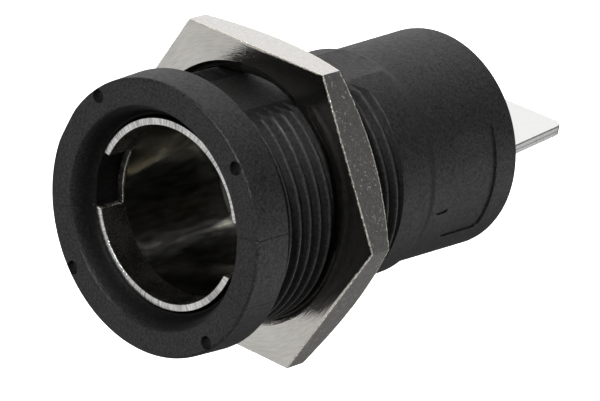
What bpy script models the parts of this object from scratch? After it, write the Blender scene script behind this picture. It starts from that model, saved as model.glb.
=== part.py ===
"""Panel-mounting cartridge fuse holder: moulded body, hex nut, bayonet contact sleeve, blade terminals.

Frame: the origin is on the body axis, in the plane where the flange seats on the panel. The socket opens
towards -Y, the terminals point to +Y, and +Z is up. Angles are measured from +X towards +Z, as seen from
the socket side. All lengths are in metres.
"""

import math

import bmesh
import bpy
from mathutils import Matrix, Vector

MM = 0.001

# Moulded body
FLANGE_FRONT_R = 9.85 * MM
FLANGE_REAR_R = 10.0 * MM
FLANGE_THICKNESS = 3.0 * MM
FACE_INNER_R = 8.0 * MM
DISH_END_Y = -1.4 * MM
EDGE_ROUND = 0.25 * MM
NECK_R = 8.15 * MM
COLLAR_R = 8.3 * MM
COLLAR_END_Y = 17.1 * MM
BARREL_FRONT_R = 7.95 * MM
BARREL_REAR_R = 8.1 * MM
BODY_END_Y = 26.45 * MM
REAR_EDGE = 0.3 * MM
BODY_SEGMENTS = 80

# External thread, M18 x 1, with a flat along the top and the bottom
THREAD_PITCH = 1.0 * MM
THREAD_CREST_R = 9.0 * MM
THREAD_ROOT_R = 8.4 * MM
THREAD_CREST_WIDTH = 0.125 * MM
THREAD_PHASE = 0.314 * MM
THREAD_END_Y = 13.1 * MM
THREAD_STEPS = 50
FLAT_HEIGHT = 8.05 * MM
FLAT_START_Y = 0.15 * MM
FLAT_REACH = 12.0 * MM

# Bores and passages in the body
SLEEVE_BORE_R = 7.0 * MM
SLEEVE_BORE_END_Y = 11.85 * MM
LINER_BORE_R = 5.6 * MM
REAR_WALL_Y = 23.05 * MM
CHANNEL_OUTER_X = 6.9 * MM
CHANNEL_WALL_X = 5.8 * MM
CHANNEL_WIDTH = 4.6 * MM

# Small marks on the body
NOTCH_R = 0.5 * MM
NOTCH_CENTRE_R = 9.3 * MM
NOTCH_DEPTH = 0.45 * MM
PANEL_ANGLES = (-28.0, 32.0)
PANEL_Y = (20.05 * MM, 24.15 * MM)
PANEL_DEPTH = 0.14 * MM
TICK_ANGLE = -7.8
TICK_Y = (18.15 * MM, 19.45 * MM)
TICK_WIDTH = 0.35 * MM

# Hex nut
NUT_FLATS = 22.0 * MM
NUT_THICKNESS = 2.8 * MM
NUT_FRONT_Y = 5.6 * MM
NUT_BORE_R = 9.2 * MM
NUT_SINK_R = 9.5 * MM
NUT_CORNER_ANGLE = 3.3
NUT_CHAMFER = math.radians(30.0)
NUT_CHAMFER_INSET = 0.1 * MM

# Contact sleeve with two bayonet slots
SLEEVE_OUTER_R = 6.7 * MM
SLEEVE_MOUTH_R = 6.3 * MM
SLEEVE_INNER_R = 6.2 * MM
SLEEVE_FRONT_Y = -1.65 * MM
SLEEVE_STEP_Y = 0.47 * MM
SLEEVE_STEP_SLOPE = 0.05 * MM
SLEEVE_FLOOR_Y = 10.35 * MM
SLEEVE_FLOOR = 0.4 * MM
SLEEVE_HOLE_R = 4.3 * MM
SLOT_WIDTH = 4.05 * MM
SLEEVE_SEGMENTS = 72

# Ring terminal behind the sleeve, with its tail along the -X side and a tab folded double outside the body
RING_OUTER_R = 6.6 * MM
RING_THICKNESS = 0.5 * MM
TAIL_X = (-6.6 * MM, -6.1 * MM)
TAIL_WIDTH = 3.6 * MM
TAB_X = (-6.75 * MM, -5.95 * MM)
TAB_WIDTH = 4.0 * MM
TAB_TIP = 0.9 * MM
TAB_END_Y = 36.85 * MM
RIVET_CIRCLE_R = 5.25 * MM
RIVET_SHANK_R = 0.5 * MM
RIVET_HEAD_R = 0.8 * MM
RIVET_CROWN_R = 0.48 * MM
RIVET_HEAD = 0.3 * MM

# Insulating liner that guides the fuse and holds the end contact back
LINER_OUTER_R = 5.3 * MM
LINER_INNER_R = 4.4 * MM
LINER_Y = (12.15 * MM, 22.05 * MM)
WEB_Y = (16.4 * MM, 17.2 * MM)
WEB_HOLE_R = 2.3 * MM

# Sprung end contact
CONTACT_NOSE_R = 2.0 * MM
CONTACT_DOME = 1.0 * MM
CONTACT_TIP_Y = 15.0 * MM
CONTACT_FLANGE_R = 3.7 * MM
CONTACT_FLANGE = 0.5 * MM
CONTACT_PILOT_R = 1.7 * MM
CONTACT_PILOT = 0.7 * MM
SPRING_R = 2.6 * MM
SPRING_WIRE_R = 0.2 * MM
SPRING_TURNS = 3.0
CUP_R = 3.9 * MM
CUP_WALL = 0.3 * MM
CUP_HEIGHT = 1.2 * MM
CUP_BOSS_R = 1.7 * MM
CUP_BOSS = 0.8 * MM

# Rear terminal: foot inside the body, strip through the rear wall and blade folded double outside
SHEET = 0.4 * MM
FOOT_R = 5.2 * MM
FOOT_FLAT_X = 4.6 * MM
BLADE_THICKNESS = 2 * SHEET
BLADE_WIDTH = 6.3 * MM
BLADE_EXTRA_LENGTH = 0.2 * MM
BLADE_ROOT_X = 2.1 * MM
BLADE_SKEW = math.radians(7.5)
BLADE_CORNER_R = 1.0 * MM

GAP = 0.3 * MM
SMALL_GAP = 0.1 * MM
OVERSHOOT = 1.0 * MM
MERGE = 1e-7


def clear_scene():
    for obj in list(bpy.data.objects):
        bpy.data.objects.remove(obj)


def make_material(name, colour, roughness, metallic):
    mat = bpy.data.materials.new(name)
    mat.use_nodes = True
    shader = mat.node_tree.nodes["Principled BSDF"]
    shader.inputs["Base Color"].default_value = (*colour, 1.0)
    shader.inputs["Roughness"].default_value = roughness
    shader.inputs["Metallic"].default_value = metallic
    return mat


def make_object(name, bm, mat=None):
    """Turns a bmesh into a named object with outward normals."""
    bmesh.ops.recalc_face_normals(bm, faces=bm.faces)
    mesh = bpy.data.meshes.new(name)
    bm.to_mesh(mesh)
    bm.free()
    obj = bpy.data.objects.new(name, mesh)
    bpy.context.scene.collection.objects.link(obj)
    if mat is not None:
        mesh.materials.append(mat)
    return obj


def set_origin(obj, place):
    """Moves an object's origin to a point and leaves its shape where it is."""
    obj.data.transform(Matrix.Translation(-Vector(place)))
    obj.location = place


def finish_shading(obj, angle=32.0):
    obj.data.shade_smooth()
    obj.data.set_sharp_from_angle(angle=math.radians(angle))


def polar(radius, degrees, y):
    """A point at a radius and an angle round the body axis."""
    angle = math.radians(degrees)
    return Vector((radius * math.cos(angle), y, radius * math.sin(angle)))


def spin_profile(profile, steps, start=0.0, sweep=360.0):
    """Sweeps a closed (radius, y) outline about the Y axis, all the way round or through a part turn."""
    bm = bmesh.new()
    verts = [bm.verts.new(polar(r, start, y)) for r, y in profile]
    full = abs(sweep - 360.0) < 1e-6
    if full:
        pairs = zip(verts, verts[1:] + verts[:1])
        on_axis = [r < MERGE for r, _ in profile]
        ends = zip(on_axis, on_axis[1:] + on_axis[:1])
        geom = [bm.edges.new(pair) for pair, both in zip(pairs, ends) if not all(both)]
    else:
        geom = [bm.faces.new(verts)]
    bmesh.ops.spin(
        bm, geom=geom, cent=(0, 0, 0), axis=(0, 1, 0), angle=-math.radians(sweep), steps=steps,
        use_duplicate=False,
    )
    bmesh.ops.remove_doubles(bm, verts=bm.verts, dist=MERGE)
    return bm


def box(low, high):
    bm = bmesh.new()
    bmesh.ops.create_cube(bm, size=1.0)
    low, high = Vector(low), Vector(high)
    bm.transform(Matrix.Translation((low + high) / 2) @ Matrix.Diagonal((*(high - low), 1.0)))
    return bm


def prism(outline, direction):
    """Extrudes a flat closed outline of points along a vector."""
    bm = bmesh.new()
    face = bm.faces.new([bm.verts.new(p) for p in outline])
    made = bmesh.ops.extrude_face_region(bm, geom=[face])
    moved = [v for v in made["geom"] if isinstance(v, bmesh.types.BMVert)]
    bmesh.ops.translate(bm, verts=moved, vec=direction)
    return bm


def cylinder(radius, centre_x, centre_z, y_start, y_end, steps):
    """A round rod parallel to the body axis."""
    centre = Vector((centre_x, 0, centre_z))
    ring = [centre + polar(radius, 360 * k / steps, y_start) for k in range(steps)]
    return prism(ring, (0, y_end - y_start, 0))


def boolean(obj, operation, name, bm):
    """Adds a Boolean modifier whose cutter is hidden and drawn as wire."""
    other = make_object(name, bm)
    other.hide_render = True
    other.display_type = "WIRE"
    modifier = obj.modifiers.new(name, "BOOLEAN")
    modifier.operation = operation
    modifier.solver = "EXACT"
    modifier.object = other


def threaded_rod():
    """The full thread: one pitch of outline swept by a Screw modifier, then cut square at both ends."""
    start = THREAD_PHASE - THREAD_PITCH * 4.5
    flank = (THREAD_PITCH - THREAD_CREST_WIDTH) / 2
    bm = bmesh.new()
    points = [
        (THREAD_ROOT_R, start + THREAD_PITCH),
        (THREAD_CREST_R, start + THREAD_PITCH - flank),
        (THREAD_CREST_R, start + flank),
        (THREAD_ROOT_R, start),
    ]
    verts = [bm.verts.new((r, y, 0)) for r, y in points]
    for a, b in zip(verts, verts[1:]):
        bm.edges.new((a, b))
    mesh = bpy.data.meshes.new("thread_outline")
    bm.to_mesh(mesh)
    bm.free()
    guide = bpy.data.objects.new("thread_outline", mesh)
    bpy.context.scene.collection.objects.link(guide)
    screw = guide.modifiers.new("Screw", "SCREW")
    screw.axis = "Y"
    screw.screw_offset = THREAD_PITCH
    screw.iterations = math.ceil(THREAD_END_Y / THREAD_PITCH) + 5
    screw.steps = THREAD_STEPS
    screw.render_steps = THREAD_STEPS
    screw.use_merge_vertices = True
    screw.merge_threshold = MERGE
    bpy.context.view_layer.update()
    rod = bmesh.new()
    rod.from_object(guide, bpy.context.evaluated_depsgraph_get())
    bpy.data.objects.remove(guide)
    bmesh.ops.remove_doubles(rod, verts=rod.verts, dist=MERGE)
    for y, side in ((-OVERSHOOT, -1), (THREAD_END_Y, 1)):
        everything = rod.verts[:] + rod.edges[:] + rod.faces[:]
        bmesh.ops.bisect_plane(
            rod, geom=everything, dist=MERGE, plane_co=(0, y, 0), plane_no=(0, side, 0), clear_outer=True
        )
        rim = [e for e in rod.edges if e.is_boundary and all(abs(v.co.y - y) < 10 * MERGE for v in e.verts)]
        bmesh.ops.contextual_create(rod, geom=rim)
    return rod


def body_outline():
    """Half section of the body's outside: dished face, flange, neck under the thread, collar and barrel."""
    steps = 8
    dish_r = SLEEVE_BORE_R - SMALL_GAP
    outline = [(0.0, DISH_END_Y)]
    for k in range(steps + 1):
        t = k / steps
        ease = t * t * (3 - 2 * t)
        radius = dish_r + (FACE_INNER_R - dish_r) * t
        outline.append((radius, DISH_END_Y + (-FLANGE_THICKNESS - DISH_END_Y) * ease))
    for degrees in (0, 45, 90):
        turn = math.radians(degrees)
        outline.append((
            FLANGE_FRONT_R - EDGE_ROUND * (1 - math.sin(turn)),
            -FLANGE_THICKNESS + EDGE_ROUND * (1 - math.cos(turn)),
        ))
    outline += [
        (FLANGE_REAR_R, 0.0),
        (NECK_R, 0.0),
        (NECK_R, THREAD_END_Y - OVERSHOOT),
        (COLLAR_R, THREAD_END_Y - OVERSHOOT),
        (COLLAR_R, COLLAR_END_Y),
        (BARREL_FRONT_R, COLLAR_END_Y + COLLAR_R - BARREL_FRONT_R),
        (BARREL_REAR_R, BODY_END_Y - REAR_EDGE),
        (BARREL_REAR_R - REAR_EDGE, BODY_END_Y),
        (0.0, BODY_END_Y),
    ]
    return outline


def make_body(mat):
    body = make_object("housing", spin_profile(body_outline(), BODY_SEGMENTS), mat)
    boolean(body, "UNION", "thread", threaded_rod())
    bores = [
        (0.0, -FLANGE_THICKNESS), (SLEEVE_BORE_R, -FLANGE_THICKNESS), (SLEEVE_BORE_R, SLEEVE_BORE_END_Y),
        (LINER_BORE_R, SLEEVE_BORE_END_Y), (LINER_BORE_R, REAR_WALL_Y), (0.0, REAR_WALL_Y),
    ]
    half_step = 180.0 / BODY_SEGMENTS
    boolean(body, "DIFFERENCE", "bores", spin_profile(bores, BODY_SEGMENTS, start=half_step))
    for side in (-1, 1):
        low, high = sorted((side * FLAT_HEIGHT, side * FLAT_REACH))
        flat = box((-FLAT_REACH, FLAT_START_Y, low), (FLAT_REACH, COLLAR_END_Y + GAP, high))
        boolean(body, "DIFFERENCE", f"flat_{side}", flat)
    width = CHANNEL_WIDTH / 2
    channel = box(
        (-CHANNEL_OUTER_X, SLEEVE_BORE_END_Y - OVERSHOOT, -width),
        (-LINER_BORE_R + OVERSHOOT, REAR_WALL_Y, width),
    )
    boolean(body, "DIFFERENCE", "tail_channel", channel)
    tail_slot = box(
        (-CHANNEL_OUTER_X, REAR_WALL_Y - OVERSHOOT, -width),
        (-CHANNEL_WALL_X, BODY_END_Y + OVERSHOOT, width),
    )
    boolean(body, "DIFFERENCE", "tail_slot", tail_slot)
    reach = BLADE_WIDTH / 2 + GAP
    rise = BLADE_THICKNESS / 2 + GAP
    blade_slot = box(
        (BLADE_ROOT_X - reach, REAR_WALL_Y - OVERSHOOT, -rise),
        (BLADE_ROOT_X + reach, BODY_END_Y + OVERSHOOT, rise),
    )
    boolean(body, "DIFFERENCE", "blade_slot", blade_slot)
    for k in range(4):
        centre = polar(NOTCH_CENTRE_R, 45 + 90 * k, 0)
        front = -FLANGE_THICKNESS
        notch = cylinder(NOTCH_R, centre.x, centre.z, front - OVERSHOOT, front + NOTCH_DEPTH, 16)
        boolean(body, "DIFFERENCE", f"notch_{k}", notch)
    floor = BARREL_FRONT_R - PANEL_DEPTH + (BARREL_REAR_R - BARREL_FRONT_R) / 2
    start, end = PANEL_ANGLES
    above = floor + OVERSHOOT
    window = [(floor, PANEL_Y[0]), (above, PANEL_Y[0]), (above, PANEL_Y[1]), (floor, PANEL_Y[1])]
    boolean(body, "DIFFERENCE", "label_panel", spin_profile(window, 16, start, end - start))
    tick = [(floor, TICK_Y[0]), (above, TICK_Y[0]), (above, TICK_Y[1]), (floor, TICK_Y[1])]
    arc = math.degrees(TICK_WIDTH / BARREL_FRONT_R)
    boolean(body, "DIFFERENCE", "tick_mark", spin_profile(tick, 2, TICK_ANGLE - arc / 2, arc))
    finish_shading(body, 25.0)


def make_nut(mat):
    """Hexagon with a 30 degree chamfer behind and a countersunk bore. Its origin is on its own axis."""
    corner_r = NUT_FLATS / 2 / math.cos(math.radians(30.0))
    corners = [polar(corner_r, NUT_CORNER_ANGLE + 60 * k, NUT_FRONT_Y) for k in range(6)]
    nut = make_object("hex_nut", prism(corners, (0, NUT_THICKNESS, 0)), mat)
    rear = NUT_FRONT_Y + NUT_THICKNESS
    wide = corner_r + OVERSHOOT
    flat_r = NUT_FLATS / 2 - NUT_CHAMFER_INSET
    drop = (wide - flat_r) * math.tan(NUT_CHAMFER)
    cone = [
        (0.0, NUT_FRONT_Y - OVERSHOOT), (wide, NUT_FRONT_Y - OVERSHOOT), (wide, rear - drop), (flat_r, rear),
        (flat_r - OVERSHOOT, rear + OVERSHOOT), (0.0, rear + OVERSHOOT),
    ]
    boolean(nut, "INTERSECT", "nut_chamfer", spin_profile(cone, 72))
    sink = NUT_SINK_R - NUT_BORE_R
    mouth = NUT_SINK_R + OVERSHOOT
    bore = [
        (0.0, NUT_FRONT_Y - OVERSHOOT), (mouth, NUT_FRONT_Y - OVERSHOOT), (NUT_BORE_R, NUT_FRONT_Y + sink),
        (NUT_BORE_R, rear - sink), (mouth, rear + OVERSHOOT), (0.0, rear + OVERSHOOT),
    ]
    boolean(nut, "DIFFERENCE", "nut_bore", spin_profile(bore, 72))
    set_origin(nut, (0, NUT_FRONT_Y, 0))
    finish_shading(nut)


def make_sleeve(mat):
    """Drawn sleeve with a stepped bore, two slots across its mouth and a pierced floor."""
    floor_end = SLEEVE_FLOOR_Y + SLEEVE_FLOOR
    outline = [
        (SLEEVE_MOUTH_R, SLEEVE_FRONT_Y), (SLEEVE_OUTER_R, SLEEVE_FRONT_Y), (SLEEVE_OUTER_R, floor_end),
        (SLEEVE_HOLE_R, floor_end), (SLEEVE_HOLE_R, SLEEVE_FLOOR_Y), (SLEEVE_INNER_R, SLEEVE_FLOOR_Y),
        (SLEEVE_INNER_R, SLEEVE_STEP_Y), (SLEEVE_MOUTH_R, SLEEVE_STEP_Y - SLEEVE_STEP_SLOPE),
    ]
    sleeve = make_object("contact_sleeve", spin_profile(outline, SLEEVE_SEGMENTS), mat)
    reach = SLEEVE_OUTER_R + OVERSHOOT
    slots = box((-reach, SLEEVE_FRONT_Y - OVERSHOOT, -SLOT_WIDTH / 2), (reach, SLEEVE_STEP_Y, SLOT_WIDTH / 2))
    boolean(sleeve, "DIFFERENCE", "bayonet_slots", slots)
    drill_rivet_holes(sleeve, SLEEVE_FLOOR_Y - GAP, floor_end + GAP)
    finish_shading(sleeve)


def drill_rivet_holes(obj, y_start, y_end):
    for side in (-1, 1):
        hole = cylinder(RIVET_SHANK_R + SMALL_GAP, 0, side * RIVET_CIRCLE_R, y_start, y_end, 16)
        boolean(obj, "DIFFERENCE", f"{obj.name}_hole_{side}", hole)


def make_ring_terminal(mat):
    """Flat ring behind the sleeve floor; its tail is bent rearward and leaves through the rear wall."""
    ring_y = SLEEVE_FLOOR_Y + SLEEVE_FLOOR + GAP
    ring_end = ring_y + RING_THICKNESS
    outline = [
        (SLEEVE_HOLE_R, ring_y), (RING_OUTER_R, ring_y),
        (RING_OUTER_R, ring_end), (SLEEVE_HOLE_R, ring_end),
    ]
    terminal = make_object("sleeve_terminal", spin_profile(outline, 48), mat)
    half = TAIL_WIDTH / 2
    tail = box((TAIL_X[0], ring_y, -half), (TAIL_X[1], BODY_END_Y + 2 * GAP, half))
    boolean(terminal, "UNION", "tail", tail)
    half = TAB_WIDTH / 2
    root = BODY_END_Y + GAP
    side = [(root, -half), (TAB_END_Y - TAB_TIP, -half), (TAB_END_Y, -half + TAB_TIP)]
    side += [(y, -z) for y, z in reversed(side)]
    tab = prism([Vector((TAB_X[0], y, z)) for y, z in side], (TAB_X[1] - TAB_X[0], 0, 0))
    boolean(terminal, "UNION", "tab", tab)
    drill_rivet_holes(terminal, ring_y - GAP, ring_end + GAP)
    finish_shading(terminal)


def make_rivets(mat):
    """Two rivets clench the ring terminal to the sleeve floor."""
    front = SLEEVE_FLOOR_Y - SMALL_GAP
    rear = SLEEVE_FLOOR_Y + SLEEVE_FLOOR + GAP + RING_THICKNESS + SMALL_GAP
    crown = RIVET_CROWN_R
    clench = rear + RIVET_HEAD / 2
    outline = [
        (0.0, front - RIVET_HEAD), (crown, front - RIVET_HEAD), (RIVET_HEAD_R, front), (RIVET_SHANK_R, front),
        (RIVET_SHANK_R, rear), (RIVET_HEAD_R, rear), (crown, clench), (0.0, clench),
    ]
    for name, height in (("sleeve_rivet_top", RIVET_CIRCLE_R), ("sleeve_rivet_bottom", -RIVET_CIRCLE_R)):
        rivet = make_object(name, spin_profile(outline, 16), mat)
        rivet.location = (0, 0, height)
        finish_shading(rivet)


def make_liner(mat):
    """Insulating tube with a web that the end contact's flange rests behind."""
    start, end = LINER_Y
    chamfer = GAP
    outline = [
        (LINER_INNER_R + chamfer, start), (LINER_OUTER_R, start), (LINER_OUTER_R, end), (LINER_INNER_R, end),
        (LINER_INNER_R, WEB_Y[1]), (WEB_HOLE_R, WEB_Y[1]), (WEB_HOLE_R, WEB_Y[0]), (LINER_INNER_R, WEB_Y[0]),
        (LINER_INNER_R, start + chamfer),
    ]
    liner = make_object("guide_liner", spin_profile(outline, 48), mat)
    finish_shading(liner)


def make_end_contact(mat):
    """Plunger with a domed nose. Its origin is on its sliding axis."""
    flange = WEB_Y[1] + GAP
    outline = [(0.0, CONTACT_TIP_Y)]
    steps = 5
    for k in range(1, steps + 1):
        turn = math.pi / 2 * k / steps
        outline.append((CONTACT_NOSE_R * math.sin(turn), CONTACT_TIP_Y + CONTACT_DOME * (1 - math.cos(turn))))
    pilot_end = flange + CONTACT_FLANGE + CONTACT_PILOT
    outline += [
        (CONTACT_NOSE_R, flange), (CONTACT_FLANGE_R, flange), (CONTACT_FLANGE_R, flange + CONTACT_FLANGE),
        (CONTACT_PILOT_R, flange + CONTACT_FLANGE), (CONTACT_PILOT_R, pilot_end), (0.0, pilot_end),
    ]
    contact = make_object("end_contact", spin_profile(outline, 32), mat)
    set_origin(contact, (0, flange, 0))
    finish_shading(contact)


def make_spring(mat):
    """Compression spring between the end contact's flange and the cup on the foot of the rear terminal."""
    start = WEB_Y[1] + GAP + CONTACT_FLANGE + GAP + SPRING_WIRE_R
    end = LINER_Y[1] - CUP_WALL - GAP - SPRING_WIRE_R
    per_turn = 14
    count = round(SPRING_TURNS * per_turn)
    curve = bpy.data.curves.new("contact_spring", "CURVE")
    curve.dimensions = "3D"
    curve.bevel_depth = SPRING_WIRE_R
    curve.bevel_resolution = 1
    curve.use_fill_caps = True
    curve.materials.append(mat)
    line = curve.splines.new("POLY")
    line.points.add(count)
    for k, point in enumerate(line.points):
        place = polar(SPRING_R, -360.0 * k / per_turn, start + (end - start) * k / count)
        point.co = (*place, 1.0)
    spring = bpy.data.objects.new("contact_spring", curve)
    bpy.context.scene.collection.objects.link(spring)


def make_spring_cup(mat):
    """Cup that centres the spring and sits on the foot of the rear terminal."""
    end = LINER_Y[1]
    floor = end - CUP_WALL
    inner = CUP_R - CUP_WALL
    outline = [
        (0.0, floor - CUP_BOSS), (CUP_BOSS_R, floor - CUP_BOSS), (CUP_BOSS_R, floor),
        (inner, floor), (inner, end - CUP_HEIGHT), (CUP_R, end - CUP_HEIGHT), (CUP_R, end), (0.0, end),
    ]
    cup = make_object("spring_cup", spin_profile(outline, 32), mat)
    finish_shading(cup)


def make_rear_terminal(mat):
    """Round foot inside the body, a strip bent square from it, and the blade folded double outside."""
    foot_y = LINER_Y[1] + GAP
    edge = math.degrees(math.acos(FOOT_FLAT_X / FOOT_R))
    arc = [-180 + edge + (360 - 2 * edge) * k / 40 for k in range(41)]
    foot = prism([polar(FOOT_R, a, foot_y) for a in arc], (0, SHEET, 0))
    terminal = make_object("rear_terminal", foot, mat)
    half = BLADE_WIDTH / 2
    root_y = BODY_END_Y + GAP
    strip = box(
        (BLADE_ROOT_X - half, foot_y + SHEET / 2, -SHEET), (BLADE_ROOT_X + half, root_y + SMALL_GAP, 0)
    )
    boolean(terminal, "UNION", "strip", strip)
    along = Vector((-math.sin(BLADE_SKEW), math.cos(BLADE_SKEW), 0))
    across = Vector((math.cos(BLADE_SKEW), math.sin(BLADE_SKEW), 0))
    root = Vector((BLADE_ROOT_X, root_y, -SHEET))
    length = (TAB_END_Y + BLADE_EXTRA_LENGTH - (root + across * half).y) / along.y
    outline = [root - Vector((half, 0, 0)), root + Vector((half, 0, 0))]
    for s in (1, -1):
        centre = root + across * s * (half - BLADE_CORNER_R) + along * (length - BLADE_CORNER_R)
        for k in range(5):
            turn = math.pi / 2 * (k / 4 if s > 0 else 1 - k / 4)
            outline.append(centre + BLADE_CORNER_R * (across * s * math.cos(turn) + along * math.sin(turn)))
    blade = prism(outline, (0, 0, BLADE_THICKNESS))
    boolean(terminal, "UNION", "blade", blade)
    finish_shading(terminal)


def build():
    clear_scene()
    plastic = make_material("black_thermoset", (0.028, 0.028, 0.030), 0.55, 0.0)
    nickel = make_material("nickel_plated_brass", (0.66, 0.64, 0.60), 0.25, 1.0)
    bore_nickel = make_material("bright_nickel", (0.60, 0.58, 0.54), 0.12, 1.0)
    tin = make_material("tinned_copper", (0.78, 0.78, 0.77), 0.35, 1.0)
    brass = make_material("brass", (0.72, 0.56, 0.28), 0.25, 1.0)
    steel = make_material("spring_steel", (0.45, 0.45, 0.46), 0.3, 1.0)
    nylon = make_material("black_nylon", (0.035, 0.035, 0.038), 0.5, 0.0)
    make_body(plastic)
    make_nut(nickel)
    make_sleeve(bore_nickel)
    make_ring_terminal(tin)
    make_rivets(brass)
    make_liner(nylon)
    make_end_contact(brass)
    make_spring(steel)
    make_spring_cup(brass)
    make_rear_terminal(tin)


build()
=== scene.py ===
import math

import bmesh
import bpy
import numpy as np
from mathutils import Matrix, Vector, noise


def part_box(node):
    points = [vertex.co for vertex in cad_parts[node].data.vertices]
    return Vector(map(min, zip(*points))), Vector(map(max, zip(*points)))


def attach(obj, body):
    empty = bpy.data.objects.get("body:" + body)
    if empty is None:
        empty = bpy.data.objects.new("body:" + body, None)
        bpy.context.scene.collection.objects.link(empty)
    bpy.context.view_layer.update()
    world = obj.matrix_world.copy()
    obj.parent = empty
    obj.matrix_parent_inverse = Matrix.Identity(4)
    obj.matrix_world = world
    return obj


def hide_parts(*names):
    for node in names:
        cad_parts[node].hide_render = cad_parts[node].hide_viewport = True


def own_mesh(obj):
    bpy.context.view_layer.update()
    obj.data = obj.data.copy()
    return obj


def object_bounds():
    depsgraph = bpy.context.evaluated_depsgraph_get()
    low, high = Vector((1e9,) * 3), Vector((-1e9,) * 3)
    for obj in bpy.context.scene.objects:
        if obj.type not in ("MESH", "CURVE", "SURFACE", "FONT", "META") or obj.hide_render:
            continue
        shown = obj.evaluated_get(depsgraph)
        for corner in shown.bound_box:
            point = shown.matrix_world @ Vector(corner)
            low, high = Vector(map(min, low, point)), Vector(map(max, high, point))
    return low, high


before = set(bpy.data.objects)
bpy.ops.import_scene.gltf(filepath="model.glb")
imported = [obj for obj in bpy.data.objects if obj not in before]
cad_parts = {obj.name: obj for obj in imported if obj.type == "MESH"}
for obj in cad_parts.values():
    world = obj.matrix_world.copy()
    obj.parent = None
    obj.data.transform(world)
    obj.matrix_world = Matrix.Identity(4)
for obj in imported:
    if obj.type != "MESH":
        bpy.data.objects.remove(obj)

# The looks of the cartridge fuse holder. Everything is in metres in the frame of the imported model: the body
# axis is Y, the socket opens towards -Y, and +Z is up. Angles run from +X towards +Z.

CAD_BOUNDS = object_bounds()
MM = 0.001
TURN = 2 * math.pi

# Places read from the frame
BODY_LOW, BODY_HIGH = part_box("housing")
NUT_LOW, NUT_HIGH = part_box("hex_nut")
SLEEVE_LOW, SLEEVE_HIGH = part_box("contact_sleeve")
LINER_LOW, LINER_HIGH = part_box("guide_liner")
CONTACT_LOW, CONTACT_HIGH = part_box("end_contact")
SPRING_LOW, SPRING_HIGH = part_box("contact_spring")
CUP_LOW, CUP_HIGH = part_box("spring_cup")
FOOT_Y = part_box("rear_terminal")[0].y
TAB_END_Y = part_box("sleeve_terminal")[1].y

# Body
FACE_Y = BODY_LOW.y
BODY_END_Y = BODY_HIGH.y
FLANGE_REAR_R = BODY_HIGH.x
FLANGE_FRONT_R = FLANGE_REAR_R - 0.15 * MM
FACE_INNER_R = 8.0 * MM
DISH_Y = -1.4 * MM
MOUTH_CHAMFER = 0.06 * MM
NOTCH_R = 0.5 * MM
NOTCH_CENTRE_R = 9.3 * MM
NOTCH_DEPTH = 0.45 * MM
COLLAR_R = 8.3 * MM
COLLAR_END_Y = 17.1 * MM
BARREL_FRONT_R = 7.95 * MM
BARREL_REAR_R = 8.1 * MM
SLEEVE_BORE_R = 7.0 * MM
SLEEVE_BORE_END_Y = 11.85 * MM
LINER_BORE_R = 5.6 * MM
REAR_WALL_Y = 23.05 * MM
FLAT_HEIGHT = 8.05 * MM
FLAT_START_Y = 0.15 * MM
WIDE = 12 * MM

# Thread, M18 x 1
PITCH = 1.0 * MM
CREST_R = 9.0 * MM
ROOT_R = 8.43 * MM
CREST_HALF = 0.06 * MM
FLANK_SLOPE = 1.37
THREAD_PHASE = 0.314 * MM
THREAD_END_Y = 13.1 * MM

# Nut
NUT_FLATS = 22.0 * MM
NUT_SINK_R = 9.5 * MM
NUT_CORNER = math.radians(3.3)
NUT_CHAMFER = math.radians(30)

# Sleeve
SLEEVE_OUTER_R = SLEEVE_HIGH.x
SLEEVE_MOUTH_R = 6.3 * MM
SLEEVE_INNER_R = 6.2 * MM
SLEEVE_STEP_Y = 0.47 * MM
SLEEVE_FLOOR_Y = 10.35 * MM
SLEEVE_HOLE_R = 4.3 * MM
SLOT_WIDTH = 4.05 * MM
RIVET_CIRCLE_R = 5.25 * MM
RIVET_HOLE_R = 0.6 * MM

# Terminals
SHEET = 0.4 * MM
SEAM_DEPTH = 0.055 * MM
SQUARE_HALF = 0.33 * MM
TERMINAL_ROOT_Y = BODY_END_Y + 0.3 * MM
RING_Y = 11.05 * MM
RING_R = 6.6 * MM

COLUMNS = 144


# Mesh tools

def fillet(points, steps=5):
    """Rounds the corners of a closed outline. A corner is (r, y), or (r, y, radius) to round it."""
    out = []
    count = len(points)
    for i, point in enumerate(points):
        corner = Vector(point[:2])
        radius = point[2] if len(point) > 2 else 0.0
        if radius == 0.0:
            out.append(tuple(corner))
            continue
        before = (Vector(points[i - 1][:2]) - corner).normalized()
        after = (Vector(points[(i + 1) % count][:2]) - corner).normalized()
        half = before.angle(after) / 2
        reach = radius / math.tan(half)
        centre = corner + (before + after).normalized() * radius / math.sin(half)
        start = corner + before * reach - centre
        turn = start.angle_signed(corner + after * reach - centre)
        for k in range(steps + 1):
            a = -turn * k / steps
            c, s = math.cos(a), math.sin(a)
            out.append((centre.x + start.x * c - start.y * s, centre.y + start.x * s + start.y * c))
    return out


def new_object(name, verts, faces, materials=()):
    """An object from points and faces, welded, with its faces pointing out."""
    mesh = bpy.data.meshes.new(name)
    mesh.from_pydata([tuple(v) for v in verts], [], [tuple(f) for f in faces])
    bm = bmesh.new()
    bm.from_mesh(mesh)
    bmesh.ops.remove_doubles(bm, verts=bm.verts, dist=2e-7)
    bmesh.ops.dissolve_degenerate(bm, edges=bm.edges, dist=1e-7)
    bmesh.ops.recalc_face_normals(bm, faces=bm.faces)
    bm.to_mesh(mesh)
    bm.free()
    obj = bpy.data.objects.new(name, mesh)
    bpy.context.scene.collection.objects.link(obj)
    for material in materials:
        mesh.materials.append(material)
    return obj


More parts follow.
